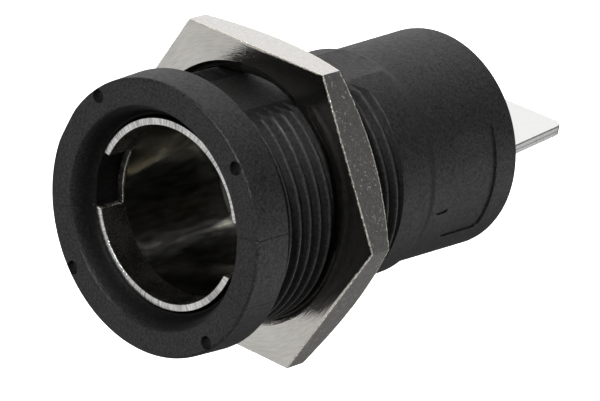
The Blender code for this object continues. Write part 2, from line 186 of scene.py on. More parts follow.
def grid_faces(rows, columns, closed_rows=False):
    """Quads between neighbouring rows of points. The columns don't wrap: the last one repeats the first."""
    last = rows if closed_rows else rows - 1
    i, j = np.meshgrid(np.arange(last), np.arange(columns - 1), indexing="ij")
    a = i * columns + j
    b = ((i + 1) % rows) * columns + j
    return np.stack([a, a + 1, b + 1, b], axis=-1).reshape(-1, 4)


def tube_faces(rings, count):
    """Quads between neighbouring rings of points, each ring closed, and a cap at both ends."""
    faces = [
        (k * count + i, k * count + (i + 1) % count, (k + 1) * count + (i + 1) % count, (k + 1) * count + i)
        for k in range(rings - 1) for i in range(count)
    ]
    return faces + [range(count), range((rings - 1) * count, rings * count)]


def surface(radius, along, angles):
    """Points at (radius, along the axis, angle), each an array of rows by columns."""
    radius, along, angles = np.broadcast_arrays(radius, along, angles)
    points = [radius * np.cos(angles), along, radius * np.sin(angles)]
    return np.stack(points, axis=-1).reshape(-1, 3)


def lathe(name, outline, materials=(), columns=COLUMNS):
    """A closed (radius, y) outline turned about the body axis."""
    outline = np.array(outline)
    angles = np.linspace(0, TURN, columns + 1)
    verts = surface(outline[:, :1], outline[:, 1:], angles[None, :])
    return new_object(name, verts, grid_faces(len(outline), columns + 1, True), materials)


def stack(name, outline, levels, axis, materials=()):
    """A plate built from loops of an outline that runs anticlockwise.

    A level is (height, inset), and inset may be a function of the way out.
    """
    count = len(outline)
    points = [Vector(p) for p in outline]
    outward = []
    for i, point in enumerate(points):
        a = (point - points[i - 1]).normalized()
        b = (points[(i + 1) % count] - point).normalized()
        way = Vector((a.y + b.y, -a.x - b.x)).normalized()
        outward.append(way / max(0.5, way.dot(Vector((b.y, -b.x)))))
    verts = []
    for height, inset in levels:
        for point, way in zip(points, outward):
            depth = inset(way) if callable(inset) else inset
            u, v = point - way * depth
            verts.append((u, v, height) if axis == "Z" else (height, u, v))
    return new_object(name, verts, tube_faces(len(levels), count), materials)


def box_shape(low, high):
    """A box between two corners. A shape is its points and faces."""
    x0, y0, z0 = low
    x1, y1, z1 = high
    verts = [(x, y, z) for x in (x0, x1) for y in (y0, y1) for z in (z0, z1)]
    return verts, [(0, 1, 3, 2), (4, 6, 7, 5), (0, 4, 5, 1), (2, 3, 7, 6), (0, 2, 6, 4), (1, 5, 7, 3)]


def prism_shape(outline, offset):
    """A flat closed outline of points, extruded by an offset."""
    count = len(outline)
    verts = list(outline) + [Vector(p) + Vector(offset) for p in outline]
    sides = [(i, (i + 1) % count, count + (i + 1) % count, count + i) for i in range(count)]
    return verts, sides + [range(count), range(count, 2 * count)]


def hole_shape(x, z, radius, start, depth, sides=32):
    """A round cutter along the body axis."""
    ring = [
        (x + radius * math.cos(TURN * i / sides), start, z + radius * math.sin(TURN * i / sides))
        for i in range(sides)
    ]
    return prism_shape(ring, (0, depth, 0))


def rivet_holes(start, depth):
    return [hole_shape(0, side * RIVET_CIRCLE_R, RIVET_HOLE_R, start, depth) for side in (-1, 1)]


def sector_shape(angles, low, high, floor):
    """A curved block on the barrel: for each angle its y range and the radius it starts from."""
    top = BARREL_REAR_R + MM
    verts = []
    for angle, y0, y1, depth in zip(angles, low, high, floor):
        for radius, y in ((depth, y0), (depth, y1), (top, y1), (top, y0)):
            verts.append((radius * math.cos(angle), y, radius * math.sin(angle)))
    faces = [(0, 1, 2, 3), range(len(verts) - 4, len(verts))]
    for i in range(len(angles) - 1):
        for k in range(4):
            faces.append((4 * i + k, 4 * i + (k + 1) % 4, 4 * i + 4 + (k + 1) % 4, 4 * i + 4 + k))
    return verts, faces


def combine(obj, shapes, operation="DIFFERENCE"):
    """Cuts obj by several separate shapes at once, or joins them to it."""
    verts, faces = [], []
    for shape_verts, shape_faces in shapes:
        faces += [tuple(len(verts) + i for i in face) for face in shape_faces]
        verts += [tuple(v) for v in shape_verts]
    other = new_object("cutter", verts, faces)
    modifier = obj.modifiers.new("combine", "BOOLEAN")
    modifier.operation = operation
    modifier.solver = "EXACT"
    modifier.object = other
    bake_modifiers(obj)
    bpy.data.objects.remove(other)


def bake_modifiers(obj):
    """Makes the modified mesh the object's own."""
    bpy.context.view_layer.update()
    shown = obj.evaluated_get(bpy.context.evaluated_depsgraph_get())
    mesh = bpy.data.meshes.new_from_object(shown)
    obj.modifiers.clear()
    obj.data = mesh


def finish_piece(obj, body, node, angle=35.0):
    """Smooth shading that keeps real edges, and the piece's place in the frame."""
    obj.data.shade_smooth()
    obj.data.set_sharp_from_angle(angle=math.radians(angle))
    weighted = obj.modifiers.new("weighted", "WEIGHTED_NORMAL")
    weighted.keep_sharp = True
    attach(obj, body)
    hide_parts(node)


def paint_faces(obj, chooser):
    """Gives each face the material index that chooser returns for its middle and its normal."""
    for polygon in obj.data.polygons:
        polygon.material_index = chooser(polygon.center, polygon.normal)


def thread_radius(y, angles):
    """The body thread's radius at a place along the axis and an angle, with softened crests and roots."""
    away = np.abs((y - THREAD_PHASE + angles / TURN * PITCH + PITCH / 2) % PITCH - PITCH / 2)
    flank = CREST_R - FLANK_SLOPE * np.maximum(away - CREST_HALF, 0)
    soft = 0.02 * MM
    crest = CREST_R - soft / 2
    radius = (flank + crest - np.sqrt((flank - crest) ** 2 + soft ** 2)) / 2
    return (radius + ROOT_R + np.sqrt((radius - ROOT_R) ** 2 + soft ** 2)) / 2


def thread_rows(start, end, angles):
    """Rows that follow the helix from one end to the other, held at the ends: (radius, y) as two arrays."""
    steps = np.array([-0.44, -0.3, -0.16, -0.09, -0.06, -0.03, 0.0, 0.03, 0.06, 0.09, 0.16, 0.3, 0.44, 0.5])
    first = math.floor((start - THREAD_PHASE) / PITCH) - 1
    last = math.ceil((end - THREAD_PHASE) / PITCH) + 2
    rows = np.concatenate([(n + steps) * PITCH for n in range(first, last + 1)]) + THREAD_PHASE
    y = np.clip(rows[:, None] - angles[None, :] / TURN * PITCH, start, end)
    return thread_radius(y, angles[None, :]), y


# Materials

class Finish:
    """A Principled material and short calls that add nodes to it."""

    def __init__(self, name, colour, roughness, metallic=0.0):
        self.material = bpy.data.materials.new(name)
        self.material.use_nodes = True
        self.tree = self.material.node_tree
        self.shader = self.tree.nodes["Principled BSDF"]
        self.shader.inputs["Base Color"].default_value = (*colour, 1.0)
        self.shader.inputs["Roughness"].default_value = roughness
        self.shader.inputs["Metallic"].default_value = metallic
        self.place = self.add("TexCoord").outputs["Object"]

    def add(self, kind, **values):
        node = self.tree.nodes.new("ShaderNode" + kind)
        for name, value in values.items():
            setattr(node, name, value)
        return node

    def put(self, socket, value):
        if isinstance(value, bpy.types.NodeSocket):
            self.tree.links.new(value, socket)
        else:
            socket.default_value = value

    def math(self, operation, *values):
        node = self.add("Math", operation=operation)
        for socket, value in zip(node.inputs, values):
            self.put(socket, value)
        return node.outputs[0]

    def noise(self, scale, detail=2.0, place=None, roughness=0.5):
        node = self.add("TexNoise")
        self.put(node.inputs["Vector"], place or self.place)
        self.put(node.inputs["Scale"], scale)
        self.put(node.inputs["Detail"], detail)
        self.put(node.inputs["Roughness"], roughness)
        return node.outputs["Fac"]

    def ramp(self, value, low, high, to_low=0.0, to_high=1.0):
        """Maps low to high onto another range, held at its ends."""
        node = self.add("MapRange")
        for name, number in (("Value", value), ("From Min", low), ("From Max", high)):
            self.put(node.inputs[name], number)
        self.put(node.inputs["To Min"], to_low)
        self.put(node.inputs["To Max"], to_high)
        return node.outputs[0]

    def mix(self, factor, a, b):
        node = self.add("Mix", data_type="RGBA")
        self.put(node.inputs["Factor"], factor)
        self.put(node.inputs["A"], a if isinstance(a, bpy.types.NodeSocket) else (*a, 1.0))
        self.put(node.inputs["B"], b if isinstance(b, bpy.types.NodeSocket) else (*b, 1.0))
        return node.outputs["Result"]

    def polar(self):
        """The radius, angle and y of a place about the body axis."""
        parts = self.add("SeparateXYZ")
        self.put(parts.inputs[0], self.place)
        x, y, z = parts.outputs
        squares = self.math("ADD", self.math("MULTIPLY", x, x), self.math("MULTIPLY", z, z))
        return self.math("SQRT", squares), self.math("ARCTAN2", z, x), y

    def join(self, x, y, z):
        node = self.add("CombineXYZ")
        for socket, value in zip(node.inputs, (x, y, z)):
            self.put(socket, value)
        return node.outputs[0]

    def bump(self, height, distance, strength=1.0):
        """Adds a bump on top of those already there."""
        node = self.add("Bump")
        node.inputs["Strength"].default_value = strength
        node.inputs["Distance"].default_value = distance
        self.put(node.inputs["Height"], height)
        normal = self.shader.inputs["Normal"]
        if normal.is_linked:
            self.put(node.inputs["Normal"], normal.links[0].from_socket)
        self.put(normal, node.outputs[0])

    def set(self, name, value):
        self.put(self.shader.inputs[name], value)


def black_moulding(name, dark=(0.005, 0.005, 0.005), light=(0.011, 0.011, 0.0108), body=False):
    """Mineral-filled black moulding: a fine grain, a cloudy gloss and a few pale specks."""
    finish = Finish(name, dark, 0.5)
    specks = finish.ramp(finish.noise(9000.0, 1.0), 0.6, 0.76)
    grain = finish.noise(7500.0, 2.0, roughness=0.7)
    tone = finish.ramp(finish.noise(900.0, 5.0, roughness=0.7), 0.3, 0.7)
    colour = finish.mix(tone, dark, light)
    colour = finish.mix(finish.math("MULTIPLY", specks, 0.6), colour, (0.05, 0.05, 0.048))
    rough = finish.ramp(finish.noise(2500.0, 3.0), 0.3, 0.7, 0.42, 0.56)
    gloss = finish.ramp(finish.noise(5000.0, 4.0, roughness=0.7), 0.36, 0.64, 0.2, 0.64)
    finish.bump(grain, 0.06 * MM, 0.6)
    finish.bump(finish.noise(1900.0, 2.0), 0.01 * MM, 0.4)
    if body:
        colour = knit(finish, colour)
        # Painted highlight along the thread's crests and painted shade in its grooves, in colour; the grooves
        # also lose gloss
        crest, groove_shade = thread_highlight_and_shade(finish)
        colour = finish.mix(groove_shade, finish.mix(crest, colour, (0.04, 0.04, 0.039)), (0.004, 0.004, 0.004))
        rough = finish.math("SUBTRACT", rough, finish.math("MULTIPLY", crest, 0.06))
        gloss = finish.math("MULTIPLY", gloss, finish.ramp(groove_shade, 0.0, 1.0, 1.0, 0.4))
        # Painted shade in the dish, the bore behind it and the front of the flats: darker colour and less
        # gloss
        painted_shade = dish_and_flat_shade(finish)
        gloss = finish.math("MULTIPLY", gloss, finish.ramp(painted_shade, 0.0, 1.0, 1.0, 0.35))
        colour = finish.mix(painted_shade, colour, (0.004, 0.004, 0.004))
    finish.set("Specular IOR Level", gloss)
    finish.set("Roughness", rough)
    finish.set("Base Color", colour)
    return finish.material


def thread_highlight_and_shade(finish):
    """Painted light on the thread: a lighter colour along the crests, in patches, as a painted highlight, and
    how deep a place lies in its grooves, where shade is painted.
    """
    radius, _, y = finish.polar()
    started = finish.math("GREATER_THAN", y, 0.2 * MM)
    threaded = finish.math("MULTIPLY", started, finish.math("LESS_THAN", y, THREAD_END_Y))
    highlight_patches = finish.ramp(finish.noise(1500.0, 3.0), 0.35, 0.6, 0.3, 1.0)
    # The crest mask is a painted highlight; the groove mask below is painted shade
    crest = finish.ramp(radius, CREST_R - 0.022 * MM, CREST_R - 0.01 * MM)
    # The flats lie deeper than the grooves, so what is nearer the axis than the grooves is left out
    low = finish.ramp(radius, CREST_R - 0.03 * MM, CREST_R - 0.14 * MM)
    grooved = finish.math("GREATER_THAN", radius, ROOT_R - 0.05 * MM)
    crest = finish.math("MULTIPLY", finish.math("MULTIPLY", crest, highlight_patches), threaded)
    return crest, finish.math("MULTIPLY", finish.math("MULTIPLY", low, grooved), threaded)


def dish_and_flat_shade(finish):
    """Where shade is painted: the dish in the face, the bore behind it and the front part of the flats, which
    are made darker and less glossy.
    """
    radius, _, y = finish.polar()
    inside = finish.ramp(radius, FACE_INNER_R + 0.05 * MM, FACE_INNER_R - 0.55 * MM)
    dish = finish.math("MULTIPLY", inside, finish.math("LESS_THAN", y, SLEEVE_BORE_END_Y))
    parts = finish.add("SeparateXYZ")
    finish.put(parts.inputs[0], finish.place)
    height = finish.math("ABSOLUTE", parts.outputs[2])
    flat = finish.math("COMPARE", height, FLAT_HEIGHT, 0.004 * MM)
    # Painted shade on the flats: full from the flange back to 7 mm, gone by 9 mm
    started = finish.math("GREATER_THAN", y, 0.1 * MM)
    faded = finish.math("MULTIPLY", started, finish.ramp(y, 9.0 * MM, 7.0 * MM, 0.0, 0.6))
    return finish.math("MAXIMUM", dish, finish.math("MULTIPLY", flat, faded))


def knit(finish, colour):
    """Hairlines where the flow fronts met in the flange, and the mould's parting line along the body."""
    radius, angle, y = finish.polar()
    wobble = finish.math("MULTIPLY", finish.math("SUBTRACT", finish.noise(500.0, 3.0), 0.5), 0.3 * MM)
    front = finish.math("LESS_THAN", y, 0.0)
    total = None
    for degrees, width, weight in ((197.0, 0.09, 0.7), (14.2, 0.1, 1.0), (-16.4, 0.09, 0.7)):
        away = finish.math("SUBTRACT", angle, math.radians(degrees))
        sideways = finish.math("MULTIPLY", radius, finish.math("SINE", away))
        across = finish.math("ABSOLUTE", finish.math("ADD", wobble, sideways))
        facing = finish.math("GREATER_THAN", finish.math("COSINE", away), 0.0)
        line = finish.ramp(across, 0.0, width * MM, weight, 0.0)
        line = finish.math("MULTIPLY", finish.math("MULTIPLY", line, facing), front)
        total = line if total is None else finish.math("MAXIMUM", total, line)
    off_centre = finish.math("ABSOLUTE", finish.math("MULTIPLY", radius, finish.math("COSINE", angle)))
    parting = finish.ramp(off_centre, 0.0, 0.05 * MM, 0.5, 0.0)
    behind = finish.math("GREATER_THAN", y, 0.0)
    total = finish.math("MAXIMUM", total, finish.math("MULTIPLY", parting, behind))
    finish.bump(total, -0.05 * MM, 0.8)
    return finish.mix(total, colour, (0.003, 0.003, 0.003))


def turned_metal(name, colour, roughness, rings, depth, spokes=9.0, cloudy=0.18, nicked=False):
    """Metal with the fine rings that turning leaves. More spokes break the rings into shorter marks."""
    finish = Finish(name, colour, roughness, 1.0)
    radius, angle, y = finish.polar()
    along = finish.math("MULTIPLY", angle, spokes)
    out = finish.math("MULTIPLY", finish.math("ADD", radius, y), rings)
    lines = finish.noise(1.0, 3.0, finish.join(out, along, 0.0), 0.6)
    patches = finish.noise(350.0, 3.0)
    wear = finish.math("ADD", finish.math("MULTIPLY", lines, 0.6), finish.math("MULTIPLY", patches, 0.4))
    finish.set("Roughness", finish.ramp(wear, 0.35, 0.65, roughness * 0.75, roughness * 1.3))
    shade = tuple(c * (1 - cloudy) for c in colour)
    finish.set("Base Color", finish.mix(finish.ramp(wear, 0.38, 0.6), shade, colour))
    finish.bump(lines, depth)
    if nicked:
        finish.bump(finish.ramp(finish.noise(4500.0, 4.0), 0.66, 0.8), 0.02 * MM, 0.3)
    return finish.material


def polished_bore(name, colour, roughness):
    """The inside of the sleeve: the sleeve's metal in a darker colour, as painted shade, smooth, with marks
    round it that draw highlights along the axis.
    """
    finish = Finish(name, colour, roughness, 1.0)
    _, angle, y = finish.polar()
    lines = finish.noise(1.0, 2.0, finish.join(
        finish.math("MULTIPLY", y, 500.0), finish.math("MULTIPLY", angle, 14.0), 0.0))
    finish.set("Roughness", finish.ramp(lines, 0.3, 0.7, roughness * 0.85, roughness * 1.15))
    shade = tuple(c * 0.4 for c in colour)
    finish.set("Base Color", finish.mix(finish.ramp(lines, 0.3, 0.7), shade, colour))
    finish.set("Anisotropic", 1.0)
    finish.set("Anisotropic Rotation", 0.25)
    finish.set("Tangent", finish.add("Tangent", direction_type="RADIAL", axis="Y").outputs[0])
    return finish.material


def drawn_metal(name, colour, roughness, speck=0.0, cloudy=0.14):
    """Plated drawn bar: faint lines along the axis, dull patches and small bright nicks."""
    finish = Finish(name, colour, roughness, 1.0)
    scaled = finish.add("Mapping")
    finish.put(scaled.inputs["Vector"], finish.place)
    scaled.inputs["Scale"].default_value = (9000.0, 700.0, 9000.0)
    lines = finish.noise(1.0, 2.0, scaled.outputs[0])
    patches = finish.noise(3800.0, 5.0, roughness=0.8)
    finish.set("Roughness", finish.ramp(patches, 0.3, 0.7, roughness * 0.8, roughness * 1.25))
    finish.bump(lines, 0.002 * MM)
    shade = tuple(c * (1 - cloudy) for c in colour)
    tone = finish.mix(finish.ramp(patches, 0.35, 0.65), shade, colour)
    if speck:
        spread = finish.ramp(finish.noise(900.0, 2.0), 0.35, 0.65, 0.04, -0.02)
        nicks = finish.ramp(finish.math("SUBTRACT", finish.noise(6500.0, 3.0), spread), 0.64, 0.76)
        finish.bump(nicks, 0.03 * MM, speck)
        tone = finish.mix(finish.math("MULTIPLY", nicks, 0.4), tone, (0.9, 0.88, 0.84))
    finish.set("Base Color", tone)
    return finish.material


def rough_edge(name, colour):
    """Torn metal along a cut edge, painted paler than the part's metal as a glint, and glittering from its
    rough bump.
    """
    finish = Finish(name, colour, 0.2, 1.0)
    finish.bump(finish.noise(7000.0, 2.0), 0.09 * MM)
    finish.set("Roughness", finish.ramp(finish.noise(3000.0), 0.3, 0.7, 0.1, 0.35))
    return finish.material


# Pieces

def round_corner(t, size):
    """How far a rounded corner draws back at a share t of its size."""
    return size * (1 - math.sqrt(max(0.0, 1 - (1 - t) ** 2)))


def body_rows(angles):
    """The housing's surface from the end of its bore, round the face and the thread, to its rear face."""
    front = []
    dish_steps = 24
    for k in range(dish_steps + 1):
        t = k / dish_steps
        front.append((
            SLEEVE_BORE_R + MOUTH_CHAMFER + (FACE_INNER_R - SLEEVE_BORE_R - MOUTH_CHAMFER) * t,
            DISH_Y + (FACE_Y - DISH_Y) * t * t * (3 - 2 * t),
        ))
    bore = [
        (0, REAR_WALL_Y), (LINER_BORE_R, REAR_WALL_Y), (LINER_BORE_R, SLEEVE_BORE_END_Y),
        (SLEEVE_BORE_R, SLEEVE_BORE_END_Y), (SLEEVE_BORE_R, DISH_Y + MOUTH_CHAMFER),
    ]
    flange = fillet([
        front[-1], (FLANGE_FRONT_R, FACE_Y, 0.25 * MM), (FLANGE_REAR_R, 0, 0.12 * MM), (CREST_R, 0),
    ], 6)[1:-1]
    rear = fillet([
        (0, THREAD_END_Y), (COLLAR_R, THREAD_END_Y), (COLLAR_R, COLLAR_END_Y - 0.35 * MM, 0.9 * MM),
        (BARREL_FRONT_R, COLLAR_END_Y + 0.4 * MM, 0.9 * MM),
        (BARREL_REAR_R, BODY_END_Y, 0.3 * MM), (0, BODY_END_Y),
    ], 6)[1:]
    thread_r, thread_y = thread_rows(0.0, THREAD_END_Y, angles)
    ones = np.ones((1, len(angles)))
    lead = np.array(bore + front + flange)
    tail = np.array(rear)
    radius = np.concatenate([lead[:, :1] * ones, thread_r, tail[:, :1] * ones])
    along = np.concatenate([lead[:, 1:] * ones, thread_y, tail[:, 1:] * ones])
    return radius, along


def label_recess():
    """The shallow recess for a rating mark, left blank, with rounded corners."""
    start, end = math.radians(-28.0), math.radians(32.0)
    low, high = 20.05 * MM, 24.15 * MM
    corner = 0.4 * MM
    arc = corner / BARREL_REAR_R
    edge = [start + arc * (1 - math.cos(math.pi / 2 * k / 5)) for k in range(6)]
    angles = edge + [start + arc + (end - start - 2 * arc) * k / 24 for k in range(1, 24)]
    angles += [start + end - a for a in reversed(edge)]
    drop = [round_corner(min(a - start, end - a, arc) / arc, corner) for a in angles]
    low_edge = [low + d for d in drop]
    high_edge = [high - d for d in drop]
    low_edge[0] = low_edge[-1] = low + corner * 0.98
    high_edge[0] = high_edge[-1] = high - corner * 0.98
    rise = [max(0.0, 1 - (end - a) / math.radians(9.0)) * 0.1 * MM for a in angles]
    floor = [BARREL_FRONT_R - 0.065 * MM + r for r in rise]
    return sector_shape(angles, low_edge, high_edge, floor)


def tick_mark():
    """A short moulded mark between the collar and the recess, narrowing at both ends."""
    middle, arc = math.radians(-7.8), 0.17 * MM / BARREL_FRONT_R
    steps = [k / 3 for k in range(-3, 4)]
    angles = [middle + arc * t for t in steps]
    low = [18.15 * MM + 0.35 * MM * t * t for t in steps]
    high = [19.45 * MM - 0.35 * MM * t * t for t in steps]
    return sector_shape(angles, low, high, [BARREL_FRONT_R - 0.1 * MM] * len(angles))


def make_housing(material):
    angles = np.linspace(0, TURN, COLUMNS + 1)
    radius, along = body_rows(angles)
    verts = surface(radius, along, angles[None, :])
    body = new_object("housing_shell", verts, grid_faces(len(radius), len(angles)), [material])
    cuts = [label_recess(), tick_mark()]

    # The flats along the top and the bottom
    for side in (-1, 1):
        low, high = sorted((side * FLAT_HEIGHT, side * WIDE))
        cuts.append(box_shape((-WIDE, FLAT_START_Y, low), (WIDE, COLLAR_END_Y + 0.3 * MM, high)))

    # Four small notches in the flange
    for k in range(4):
        turn = math.radians(45 + 90 * k)
        x, z = NOTCH_CENTRE_R * math.cos(turn), NOTCH_CENTRE_R * math.sin(turn)
        cuts.append(hole_shape(x, z, NOTCH_R, FACE_Y - MM, MM + NOTCH_DEPTH, 28))

    # The trimmed gate on the flange's edge
    gate = Matrix.Rotation(math.radians(-160.0), 4, "Y")
    gate_r, gate_half = 9.68 * MM, 3 * MM
    corners, sides = box_shape((gate_r, FACE_Y - MM, -gate_half), (WIDE, 0.05 * MM, gate_half))
    cuts.append(([gate @ Vector(c) for c in corners], sides))

    # The blade's slot in the rear wall, and the side tab's channel along the bore
    rear = BODY_END_Y + MM
    slot_low, slot_high, slot_half = -1.35 * MM, 5.55 * MM, 0.7 * MM
    cuts.append(box_shape((slot_low, REAR_WALL_Y - MM, -slot_half), (slot_high, rear, slot_half)))
    outer, wall, inner, half = -6.9 * MM, -5.8 * MM, -4.6 * MM, 2.3 * MM
    ledge = SLEEVE_BORE_END_Y - MM
    channel = [
        (outer, ledge), (inner, ledge), (inner, REAR_WALL_Y),
        (wall, REAR_WALL_Y), (wall, rear), (outer, rear),
    ]
    cuts.append(prism_shape([(x, y, -half) for x, y in channel], (0, 0, 2 * half)))
    combine(body, cuts)
    finish_piece(body, "body", "housing", 28.0)


def make_nut(turned, drawn, edge):
    """Hex nut with a 30 degree chamfer behind, countersunk both sides, threaded to match the body."""
    flat_r = NUT_FLATS / 2 - 0.001 * MM
    per_side = 90
    angles = NUT_CORNER + np.linspace(0, TURN, 6 * per_side + 1)
    from_flat = (angles - NUT_CORNER) % (TURN / 6) - TURN / 12
    hexagon = flat_r / np.cos(from_flat)
    front, rear = NUT_LOW.y, NUT_HIGH.y
    grain = 190
    jag = np.array([noise.noise(Vector((math.cos(a), math.sin(a), 0)) * grain) for a in angles])
    jag[-1] = jag[0]
    bevel = 0.09 * MM * (1 + 0.7 * jag)
    drop = np.maximum(0.0, hexagon - (flat_r - 0.1 * MM)) * math.tan(NUT_CHAMFER)
    shoulder = rear - drop
    clear, sink = 0.09 * MM, 0.32 * MM
    thread_r, thread_y = thread_rows(front + sink, rear - sink, angles)
    thread_r = np.minimum(thread_r + clear, CREST_R + clear)

    # Each row is its radius and y, as a number or for each angle
    rows = [
        (NUT_SINK_R, front),
        (NUT_SINK_R + 0.1 * MM, front),
        (hexagon - 0.2 * MM, front),
        (hexagon - bevel, front),
        (hexagon - 0.25 * bevel, front + 0.25 * bevel),
        (hexagon, front + bevel),
        (hexagon, front + 3 * bevel),
        (hexagon, shoulder - 1.5 * bevel),
        (hexagon, shoulder - 0.6 * bevel),
        (hexagon - 0.9 * bevel, shoulder + 0.1 * bevel),
        ((hexagon + flat_r) / 2 - 0.1 * MM, (shoulder + rear) / 2 - 0.005 * MM),
        (flat_r - 0.16 * MM, rear - 0.01 * MM),
        (flat_r - 0.24 * MM, rear),
        (NUT_SINK_R + 0.1 * MM, rear),
        (NUT_SINK_R, rear),
    ]
    radius = np.concatenate([[r + 0 * angles for r, _ in rows], thread_r[::-1]])
    along = np.concatenate([[y + 0 * angles for _, y in rows], thread_y[::-1]])
    verts = surface(radius, along, angles[None, :])
    nut = new_object("nut", verts, grid_faces(len(radius), len(angles), True), [turned, drawn, edge])

    # By row: the front face, its torn edge with a painted glint, the flat, the torn edge behind with a
    # painted glint, the chamfer and the rest
    by_row = [0, 0, 0, 2, 2, 1, 1, 2, 2]
    for polygon in nut.data.polygons:
        row = polygon.index // (len(angles) - 1)
        polygon.material_index = by_row[row] if row < len(by_row) else 0
    finish_piece(nut, "nut", "hex_nut", 20.0)


def make_sleeve(rim, band, bore, edge):
    """Contact sleeve: a rounded rim, a slightly wider mouth, two bayonet slots and a pierced floor."""
    front, floor_end = SLEEVE_LOW.y, SLEEVE_HIGH.y
    lip_r = SLEEVE_OUTER_R + 0.12 * MM
    outline = fillet([
        (SLEEVE_MOUTH_R, front, 0.08 * MM), (lip_r, front, 0.06 * MM),
        (lip_r, front + 0.2 * MM), (SLEEVE_OUTER_R, front + 0.3 * MM),
        (SLEEVE_OUTER_R, floor_end, 0.3 * MM), (SLEEVE_HOLE_R, floor_end, 0.05 * MM),
        (SLEEVE_HOLE_R, SLEEVE_FLOOR_Y, 0.08 * MM), (SLEEVE_INNER_R, SLEEVE_FLOOR_Y, 0.35 * MM),
        (SLEEVE_INNER_R, SLEEVE_STEP_Y + 0.2 * MM, 0.4 * MM), (SLEEVE_MOUTH_R, front + 0.3 * MM, 0.2 * MM),
    ], 3)
    sleeve = lathe("sleeve", outline, [rim, band, bore, edge], 216)
    half, corner = SLOT_WIDTH / 2, 0.18 * MM
    near, far = 4 * MM, SLEEVE_OUTER_R + MM
    slot = fillet([
        (-half, front - MM), (half, front - MM),
        (half, SLEEVE_STEP_Y, corner), (-half, SLEEVE_STEP_Y, corner),
    ], 2)
    cuts = rivet_holes(SLEEVE_FLOOR_Y - MM, 2.2 * MM)
    for side in (-1, 1):
        cuts.append(prism_shape([(side * near, y, z) for z, y in slot], (side * (far - near), 0, 0)))
    combine(sleeve, cuts)
    bevel = sleeve.modifiers.new("bevel", "BEVEL")
    bevel.use_clamp_overlap = False
    bevel.width = 0.05 * MM
    bevel.segments = 2
    bevel.limit_method = "ANGLE"
    bevel.angle_limit = math.radians(50.0)
    bake_modifiers(sleeve)

    def kind(middle, normal):
        """The rim, the broken edges of the slots with a painted glint, the band of the mouth, or the polished
        bore in painted shade.
        """
        outward = abs(normal.x * middle.x + normal.z * middle.z) / math.hypot(middle.x, middle.z)
        in_slot = middle.y < SLEEVE_STEP_Y + 0.06 * MM and abs(middle.z) < half + 0.06 * MM
        if middle.y < front + 0.12 * MM:
            return 0
        if in_slot and outward < 0.95:
            return 3 if outward > 0.3 else 2
        if middle.y < SLEEVE_STEP_Y + 0.2 * MM:
            return 1
        return 2

    paint_faces(sleeve, kind)
    finish_piece(sleeve, "body", "contact_sleeve", 30.0)


def make_rear_terminal(tin):
    """Foot and strip of single sheet, and a blade folded double at its -X edge and seamed round the rest."""
    half = 3.15 * MM
    root_x, root_y = 2.1 * MM, TERMINAL_ROOT_Y
    skew = math.radians(7.5)
    along = Vector((-math.sin(skew), math.cos(skew)))
    across = Vector((math.cos(skew), math.sin(skew)))
    corner_r = 1.0 * MM
    right = Vector((root_x, root_y)) + across * half
    end_y = CAD_BOUNDS[1][1] - 0.001 * MM - corner_r * (1 - along.y - across.y)
    right_tip = right + along * (end_y - right.y) / along.y
    outline = fillet([
        (root_x - half, root_y), (root_x + half, root_y),
        (*right_tip, corner_r), (*(right_tip - across * 2 * half), corner_r),
    ], 8)

    def edge(height):
        """The inset at a height: square with a seam at the cut edges, half round at the fold."""
        bevel = max(0.0, abs(height) - SQUARE_HALF)
        seam = SEAM_DEPTH if abs(height) < 0.02 * MM else 0.0
        folded = SHEET - math.sqrt(max(0.0, SHEET ** 2 - height ** 2))

        def inset(way):
            return folded * 0.8 if way.dot(-across) > 0.9 else bevel + seam
        return inset

    above = [0.019, 0.035, 0.1, 0.2, 0.33, 0.36, 0.385, 0.4]
    heights = [-h for h in reversed(above)] + above
    levels = [(h * MM, edge(h * MM)) for h in heights]
    blade = stack("blade", outline, levels, "Z", [tin])
    foot_r, foot_flat = 5.2 * MM, 4.6 * MM
    turn = math.acos(foot_flat / foot_r)
    arc = [-math.pi + turn + (TURN - 2 * turn) * k / 72 for k in range(73)]
    foot = [(foot_r * math.cos(a), FOOT_Y, foot_r * math.sin(a)) for a in arc]
    strip = box_shape(
        (root_x - half, FOOT_Y + SHEET / 2, -SHEET + 0.01 * MM),
        (root_x + half, root_y + 0.1 * MM, -0.02 * MM),
    )
    combine(blade, [strip], "UNION")
    combine(blade, [prism_shape(foot, (0, SHEET, 0))], "UNION")
    finish_piece(blade, "body", "rear_terminal", 30.0)


def make_sleeve_terminal(tin):
    """Ring clenched behind the sleeve, its tail through the body and the tab folded double outside."""
    thick, edge = 0.5 * MM, 0.05 * MM
    ring = lathe("tail_terminal", fillet([
        (SLEEVE_HOLE_R, RING_Y, edge), (RING_R, RING_Y, edge),
        (RING_R, RING_Y + thick, edge), (SLEEVE_HOLE_R, RING_Y + thick, edge),
    ], 3), [tin], 96)
    root, tail_half = TERMINAL_ROOT_Y, 1.8 * MM
    tail = box_shape((-RING_R, RING_Y + edge, -tail_half), (-RING_R + thick, root + 0.2 * MM, tail_half))
    combine(ring, [tail], "UNION")
    end, half, tip, corner = TAB_END_Y, 2.0 * MM, 0.9 * MM, 0.2 * MM
    outline = fillet([
        (root, -half), (end - tip, -half, corner), (end, -half + tip, corner),
        (end, half - tip, corner), (end - tip, half, corner), (root, half),
    ], 5)
    middle = -6.35 * MM

    def inset(height):
        """Square with a seam at mid-height, and broken edges."""
        away = abs(height - middle)
        return max(0.0, away - SQUARE_HALF) + (SEAM_DEPTH if away < 0.02 * MM else 0.0)

    above = [0.045, 0.09, 0.3, 0.82, 0.9, 0.96, 1]
    steps = [-h for h in reversed(above)] + above
    levels = [(middle + SHEET * h, inset(middle + SHEET * h)) for h in steps]
    tab = stack("tab", outline, levels, "X", [tin])
    shape = ([v.co.copy() for v in tab.data.vertices], [tuple(p.vertices) for p in tab.data.polygons])
    bpy.data.objects.remove(tab)
    combine(ring, [shape], "UNION")
    combine(ring, rivet_holes(RING_Y - 0.3 * MM, 1.1 * MM))
    finish_piece(ring, "body", "sleeve_terminal", 30.0)


